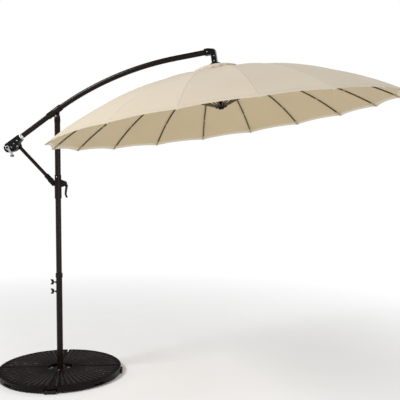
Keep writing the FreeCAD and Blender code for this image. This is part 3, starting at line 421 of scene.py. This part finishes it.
def cloth_sheet(name, k, surface, inner, outer, depth, rows, columns):
    """Two layers of cloth over rib k, from the middle of one panel to the next one's, closed all round."""
    pose = rib_frame(k)
    points, uvs = [], []
    for lift in (0.0, -CLOTH):
        for i in range(rows):
            for share in shares(columns):
                radius = inner + (rim_radius(outer, depth, share) - inner) * i / (rows - 1)
                points.append(pose @ surface(radius, share, lift))
                uvs.append((chord(radius, share), radius))
    count = rows * columns
    upper = net(rows, columns)
    lower = [tuple(count + n for n in reversed(face)) for face in upper]
    loop = [i * columns for i in range(rows)] + [count - columns + j for j in range(1, columns)]
    loop += [i * columns + columns - 1 for i in range(rows - 2, -1, -1)] + list(range(columns - 2, 0, -1))
    rim = list(zip(loop, loop[1:] + loop[:1]))
    sides = [(b, a, count + a, count + b) for a, b in rim]
    thing = shell(name, points, upper + lower + sides, [CLOTH_TOP, CLOTH_INSIDE_SHADED], uvs)
    # The lower layer gets the inside cloth, whose darker, warmer colour is painted shade and painted light shining
    # through.
    for face in thing.data.polygons:
        face.material_index = int(len(upper) <= face.index < 2 * len(upper))
    borders = {frozenset((a + layer, b + layer)) for a, b in rim for layer in (0, count)}
    for edge in thing.data.edges:
        edge.use_edge_sharp = frozenset(edge.vertices) in borders
    return thing


def valance(k, columns=9):
    """Short hanging edge of the vent cap."""
    pose = rib_frame(k)
    section = [(-0.0015, 0.0004), (0.0004, 0.0003), (0.0022, -0.0060), (0.0034, -0.0265), (0.0024, -0.0267),
               (0.0010, -0.0060), (-0.0010, -0.0012)]
    points, uvs = [], []
    for out, lift in section:
        for share in shares(columns):
            spot = vent_point(rim_radius(VENT_OUTER, VENT_SCALLOP, share), share)
            outwards = Vector((spot.x, spot.y, 0)).normalized()
            points.append(pose @ (spot + outwards * out + Z * lift))
            uvs.append((chord(VENT_OUTER, share), -lift))
    return shell(f"vent_valance_{k + 1:02d}", points, net(len(section), columns), [HEM_TOP], uvs)


def hem_band(name, k, surface, outer, depth, width, columns):
    """Folded band sewn round the edge of the cloth."""
    pose = rib_frame(k)
    section = [(width, 0.0), (width - 0.001, 0.0006), (0.001, 0.0007), (-0.0006, 0.0), (-0.0006, -0.0012),
               (0.001, -0.0019), (width - 0.001, -0.0019), (width, -0.0012)]
    points, uvs = [], []
    for back, lift in section:
        for share in shares(columns):
            edge = rim_radius(outer, depth, share)
            points.append(pose @ surface(min(edge - back, outer + 0.001), share, lift))
            uvs.append((chord(edge, share), back))
    return shell(name, points, [face[::-1] for face in net(len(section), columns)], [HEM_TOP], uvs)


def seam_strip(k, rows=48):
    """Flat felled seam on top of the cloth, along rib k."""
    pose = rib_frame(k)
    section = [(-0.0070, -0.0002), (-0.0062, 0.0006), (-0.0020, 0.0009), (0.0020, 0.0009), (0.0062, 0.0006),
               (0.0070, -0.0002)]
    start, length = VENT_HOLE + 0.002, CANOPY_RADIUS - 0.026 - VENT_HOLE
    points, uvs = [], []
    for i in range(rows):
        radius = start + length * i / (rows - 1)
        for across, lift in section:
            points.append(pose @ dome_point(radius, across / chord(radius), lift))
            uvs.append((across, radius))
    return shell(f"canopy_seam_{k + 1:02d}", points, net(rows, len(section)), [SEAM_TOP], uvs)


def rib_line(radius, drop):
    """Point on the rib's own line, drop below the cloth's outer surface."""
    bend = DOME - drop
    angle = math.asin(radius / DOME)
    return Vector((bend * math.sin(angle), 0.0, CANOPY_RISE - DOME + bend * math.cos(angle)))


TIES = ((0.30, 0.016), (0.78, 0.016), (1.06, 0.016), (1.318, 0.052))    # radius, length; last is the pocket
TIE_GAP, TIE_THICK = 0.0012, 0.0009


def strap_loops(k):
    """Narrow loops that tie the cloth to rib k, and the pocket over the rib's tip."""
    pose = rib_frame(k)
    half, low, top = RIB_WIDTH / 2 + TIE_GAP, RIB_TOP + RIB_DEPTH + TIE_GAP, 0.0013
    inside, inner_low = half - TIE_THICK, low - TIE_THICK
    ring = [(-half, top), (-half, low), (half, low), (half, top)]
    ring += [(inside, top), (inside, inner_low), (-inside, inner_low), (-inside, top)]
    count = len(ring)
    points, faces, uvs = [], [], []
    for radius, length in TIES:
        base = len(points)
        for end in (-0.5, 0.5):
            for across, drop in ring:
                spot = rib_line(min(radius + end * length, CANOPY_RADIUS - 0.003), drop)
                points.append(pose @ Vector((spot.x, across, spot.z)))
                uvs.append((across + drop, radius + end * length))
        faces += [(base + j, base + (j + 1) % count, base + count + (j + 1) % count, base + count + j)
                  for j in range(count)]
        faces += [[base + j for j in range(count)][::-1], [base + count + j for j in range(count)]]
    return shell(f"rib_ties_{k + 1:02d}", points, faces, [POCKET], uvs, smooth=False)


def rib_plug(k):
    """Rounded plastic end on rib k."""
    start, stop = (rib_line(CANOPY_RADIUS - back, RIB_TOP + RIB_DEPTH / 2) for back in (0.016, 0.003))
    pose = rib_frame(k) @ facing(start, stop - start)
    profile = [(0.001, 0.0), (0.0058, 0.0), (0.0062, 0.002), (0.0062, 0.010), (0.0045, 0.0135),
               (0.001, 0.0145)]
    return lathe(f"rib_plug_{k + 1:02d}", profile, pose, TIP, 16)


def canopy_gore(k):
    """Everything of cloth on rib k: half of the panel on each side of it, and its part of the vent cap."""
    number, body = f"{k + 1:02d}", f"rib_{k + 1:02d}"
    panel = cloth_sheet(f"canopy_cloth_{number}", k, dome_point, VENT_HOLE, CANOPY_RADIUS, SCALLOP, 36, 17)
    hem = hem_band(f"canopy_hem_{number}", k, dome_point, CANOPY_RADIUS, SCALLOP, HEM, 17)
    seam, ties, plug = seam_strip(k), strap_loops(k), rib_plug(k)
    for piece in (panel, hem):
        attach(piece, body)
        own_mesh(piece)
    for piece in (seam, ties, plug):
        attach(piece, body)
    cap = cloth_sheet(f"vent_cloth_{number}", k, vent_point, VENT_INNER, VENT_OUTER, VENT_SCALLOP, 12, 9)
    cap_hem = hem_band(f"vent_hem_{number}", k, vent_point, VENT_OUTER, VENT_SCALLOP, VENT_HEM, 9)
    cap_edge = valance(k)
    for piece in (cap, cap_hem, cap_edge):
        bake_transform(piece)
    return panel


panels = [canopy_gore(k) for k in range(RIBS)]
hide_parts("canopy_fabric")


# ---- lift cord ----

def tube(name, line, radius, around=10):
    """A round cord along a line of points."""
    points, uvs, length = [], [], 0.0
    for i, spot in enumerate(line):
        before, after = line[max(i - 1, 0)], line[min(i + 1, len(line) - 1)]
        turn = (after - before).to_track_quat("Z", "Y")
        length += (spot - before).length
        for j in range(around):
            angle = 2 * math.pi * j / around
            points.append(spot + turn @ polar(angle, radius))
            uvs.append((radius * angle, length))
    return shell(name, points, bar_faces(len(line), around), [MATERIALS["cord"]], uvs)


CORD_RISE = DRUM_RISE + DRUM_RADIUS + CORD_RADIUS
PULLEY = Vector((-PULLEY_RADIUS, 0, HEAD_HEIGHT + CORD_RISE - ARM_RISE - PULLEY_RADIUS))
BEND_TURN = ARM_SLOPE - CANOPY_TILT


def turn_of(centre, radius, angle):
    """Point on a circle in the XZ plane; the angle starts at the top and grows towards +X."""
    return centre + Vector((math.sin(angle), 0, math.cos(angle))) * radius


def cord_line():
    """The cord from the drum along the arm, over the elbow pulley."""
    axle, wrap = Vector((-DRUM_BACK, 0, DRUM_RISE)), DRUM_RADIUS + CORD_RADIUS + CORD_LIFT
    line = [ARM @ turn_of(axle, wrap, 2 * math.pi * (n / 24 - 1)) for n in range(24)]
    line += [ARM @ Vector((-DRUM_BACK * (1 - n / 8), 0, CORD_RISE)) for n in range(8)]
    centre, bend = Vector((0, 0, ARM_RISE - ARM_BEND)), ARM_BEND + CORD_RISE - ARM_RISE
    line += [ARM @ turn_of(centre, bend, BEND_TURN * n / 24) for n in range(25)]
    return line + [CANOPY @ turn_of(PULLEY, PULLEY_RADIUS, math.pi / 2 * n / 8) for n in range(9)]


arm_cord = tube("cord_in_arm", cord_line(), CORD_RADIUS)
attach(arm_cord, "arm")
cord_top, cord_free, cord_end = (CANOPY @ Vector((0, 0, z)) for z in (PULLEY.z, CORD_FREE, CORD_END))
drop_cord = tube("cord_drop", [cord_top.lerp(cord_end, n / 40) for n in range(41)], CORD_RADIUS * 1.1)
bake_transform(drop_cord)
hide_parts("lift_cord")


# ---- small parts ----

def screw(name, body, spot, direction, radius):
    """Domed screw head with a cross recess."""
    rings, around = 7, 32
    pose = facing(spot, direction)
    circle = [polar(2 * math.pi * j / around).xy for j in range(around)]
    points = []
    for i in range(rings):
        share = (i + 0.6) / (rings - 0.4)
        dome = 0.45 * math.sqrt(1 - 0.85 * share ** 2)
        for x, y in circle:
            recess = 0.25 if min(abs(x), abs(y)) * share < 0.14 and share < 0.6 else 0.0
            points.append(pose @ (Vector((x * share, y * share, dome - recess)) * radius))
    points += [pose @ Vector((x * radius, y * radius, -0.001)) for x, y in circle]
    thing = shell(name, points, bar_faces(rings + 1, around), [MATERIALS["zinc"]])
    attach(thing, body)


SCREW_GAP = 0.0002        # from the face to the plane that a head is drawn from
CASE_SCREWS = ((-0.400, 0.032), (-0.438, 0.026), (-0.473, 0.014), (-0.518, 0.055))
ELBOW_RIVETS = ((-0.045, 0.560), (-PULLEY_RADIUS, PULLEY.z), (0.004, 0.520), (0, 0.482))

for name, pose, places, half, radius in (("case_screw", ARM, CASE_SCREWS, CASE_HALF, 0.005),
                                         ("elbow_rivet", CANOPY, ELBOW_RIVETS, ELBOW_HALF, 0.0045)):
    for n, (x, z) in enumerate(places):
        for side, word in ((-1, "front"), (1, "back")):
            spot = pose @ Vector((x, side * (half + SCREW_GAP), z))
            screw(f"{name}_{n}_{word}", "arm", spot, Y * side, radius)
sleeve_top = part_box("slider_sleeve")[1].z
screw("slider_screw", "slider", Vector((0, -0.0266, sleeve_top - 0.016)), -Y, 0.0042)

hub_centre = ARM @ Vector((-DRUM_BACK, -CRANK_FACE, DRUM_RISE))
cap_profile = [(0.0005, -0.001), (0.0095, -0.001), (0.0095, 0.0014), (0.0080, 0.0022), (0.0042, 0.0022),
               (0.0036, 0.0008), (0.0005, 0.0008)]
crank_cap = lathe("crank_cap", cap_profile, facing(hub_centre, -Y), MATERIALS["black_plastic"])
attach(crank_cap, "winch")

ring_profile = [(0.0213, -0.014), (0.0226, -0.014), (0.0232, -0.012), (0.0226, -0.009), (0.0226, 0.009),
                (0.0232, 0.012), (0.0226, 0.014), (0.0213, 0.014)]
ring_pose = ARM @ facing(Vector((-0.352, 0, ARM_RISE)), X)
arm_ring = lathe("arm_ring", ring_profile, ring_pose, MATERIALS["chrome"], 48)
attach(arm_ring, "arm")

# ---- slab relief ----

RIDGES, RIDGE_STEPS, RIDGE_SIDES = 15, 8, 6
RIDGE_STARTS, RIDGE_STOP, RIDGE_HEIGHT = (0.205, 0.150), 0.468, 0.0022
DOT_RADII, DOT = (0.260, 0.315, 0.370, 0.425), 0.0042
FAN_MARGIN = math.radians(5)
FAN_STEP = (math.pi / 2 - 2 * FAN_MARGIN) / (RIDGES - 1)


def ridge(mesh, pose, angle, start):
    """One half-round ridge, outwards from start, wider at the rim and pointed at both ends."""
    rings = []
    for i in range(RIDGE_STEPS + 1):
        share = i / RIDGE_STEPS
        r = start + (RIDGE_STOP - start) * share
        taper = math.sin(math.pi * min(0.5, 0.08 + 3 * share, 0.08 + 3 * (1 - share)))
        half = (0.0022 + 0.0085 * (r - 0.12) / 0.36) * taper
        height = RIDGE_HEIGHT * math.sqrt(half / 0.011)
        ring = []
        for turn in (math.pi * j / RIDGE_SIDES for j in range(RIDGE_SIDES + 1)):
            across = polar(angle + math.pi / 2) * (half * math.cos(turn))
            spot = polar(angle, r, SLAB_TOP - 0.0003 + height * math.sin(turn)) + across
            ring.append(mesh.verts.new(pose @ spot))
        rings.append(ring)
    for a, b in zip(rings, rings[1:]):
        for j in range(RIDGE_SIDES + 1):
            after = (j + 1) % (RIDGE_SIDES + 1)
            mesh.faces.new((a[j], b[j], b[after], a[after]))
    mesh.faces.new(rings[0])
    mesh.faces.new(rings[-1][::-1])


def slab_relief(k):
    """Raised fan of ridges, and dots between them, on top of one quarter slab."""
    pose = Matrix.Rotation(CROSS_TURN + k * math.pi / 2, 4, "Z")
    mesh = bmesh.new()
    for n in range(RIDGES):
        ridge(mesh, pose, FAN_MARGIN + FAN_STEP * n, RIDGE_STARTS[n % 2])
    for n in range(RIDGES - 1):
        for r in DOT_RADII:
            spot = pose @ polar(FAN_MARGIN + FAN_STEP * (n + 0.5), r, SLAB_TOP - 0.0005)
            flat = Matrix.Translation(spot) @ Matrix.Diagonal((1, 1, 0.5, 1))
            bmesh.ops.create_uvsphere(mesh, u_segments=12, v_segments=6, radius=DOT, matrix=flat)
    bmesh.ops.recalc_face_normals(mesh, faces=mesh.faces)
    data = bpy.data.meshes.new(f"slab_relief_{k + 1}")
    mesh.to_mesh(data)
    mesh.free()
    # The relief's lighter brown is partly painted glint.
    data.materials.append(RIDGE)
    data.shade_smooth()
    thing = bpy.data.objects.new(f"slab_relief_{k + 1}", data)
    bpy.context.scene.collection.objects.link(thing)
    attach(thing, "base")


for k in range(4):
    slab_relief(k)

# ---- edges ----

for name, width in (("winch_housing", 0.0020), ("elbow_bracket", 0.0016), ("slider_lever", 0.0016),
                    ("strut_grip", 0.0014), ("arm_bracket", 0.0010), ("winch_crank", 0.0008),
                    ("wing_bolt_upper", 0.0012), ("wing_bolt_lower", 0.0012)):
    soften(NODES[name], width)

# ---- floor, light ----

def floor_finish():
    """Pale floor that fades to white far from the object."""
    n = Nodes("floor")
    away = n.add("VectorMath", {0: n.place()}, operation="LENGTH").outputs["Value"]
    fade = n.span(away, 0.9, 5.0, 0.0, 1.0)
    tone = n.mottle((0.90, 0.90, 0.90), (0.92, 0.92, 0.92), 2.0, 0.35, 0.65)
    return n.surface(Base_Color=n.mix(fade, tone, (0.0, 0.0, 0.0)), Roughness=0.85, Specular_IOR_Level=0.1,
                     Emission_Color=(1.0, 1.0, 1.0), Emission_Strength=fade)


FLOOR_HALF = 30.0
corners = [(FLOOR_HALF * x, FLOOR_HALF * y, 0) for x, y in ((-1, -1), (1, -1), (1, 1), (-1, 1))]
floor = shell("floor", corners, [(0, 1, 2, 3)], [floor_finish()])


def lamp(name, spot, aim, size, power):
    """Round soft lamp at spot, turned to aim."""
    light = bpy.data.lights.new(name, "AREA")
    light.shape = "DISK"
    light.size = size
    light.energy = power
    thing = bpy.data.objects.new(name, light)
    thing.location = spot
    thing.rotation_euler = (Vector(aim) - Vector(spot)).to_track_quat("-Z", "Y").to_euler()
    bpy.context.scene.collection.objects.link(thing)


lamp("key", (-3.5, -3.5, 6.0), (0.9, 0, 1.8), 2.2, 360)
lamp("fill", (5.5, -4.0, 2.0), (1.0, 0, 1.5), 4.0, 100)
lamp("back", (2.5, 5.5, 4.5), (1.0, 0, 2.0), 4.0, 60)

SKY_SEEN, SKY_LIGHT, SKY_MIRRORED = 1.0, 0.42, 0.12    # brightness to the camera, as light, in reflections


def white_sky():
    """White world: bright where the camera sees it, dimmer as a light and dimmest in reflections."""
    world = bpy.data.worlds.new("world")
    bpy.context.scene.world = world
    world.use_nodes = True
    nodes, link = world.node_tree.nodes, world.node_tree.links.new
    sky, seen = nodes["Background"], nodes.new("ShaderNodeLightPath")
    sky.inputs["Color"].default_value = (1, 1, 1, 1)
    strength = nodes.new("ShaderNodeMapRange")
    strength.inputs["To Min"].default_value = SKY_LIGHT
    strength.inputs["To Max"].default_value = SKY_SEEN
    link(seen.outputs["Is Camera Ray"], strength.inputs["Value"])
    mirrored = nodes.new("ShaderNodeMath")
    mirrored.operation = "MULTIPLY_ADD"
    mirrored.inputs[1].default_value = SKY_MIRRORED - SKY_LIGHT
    link(seen.outputs["Is Glossy Ray"], mirrored.inputs[0])
    link(strength.outputs[0], mirrored.inputs[2])
    link(mirrored.outputs[0], sky.inputs["Strength"])


white_sky()
bpy.context.scene.view_settings.view_transform = "Standard"
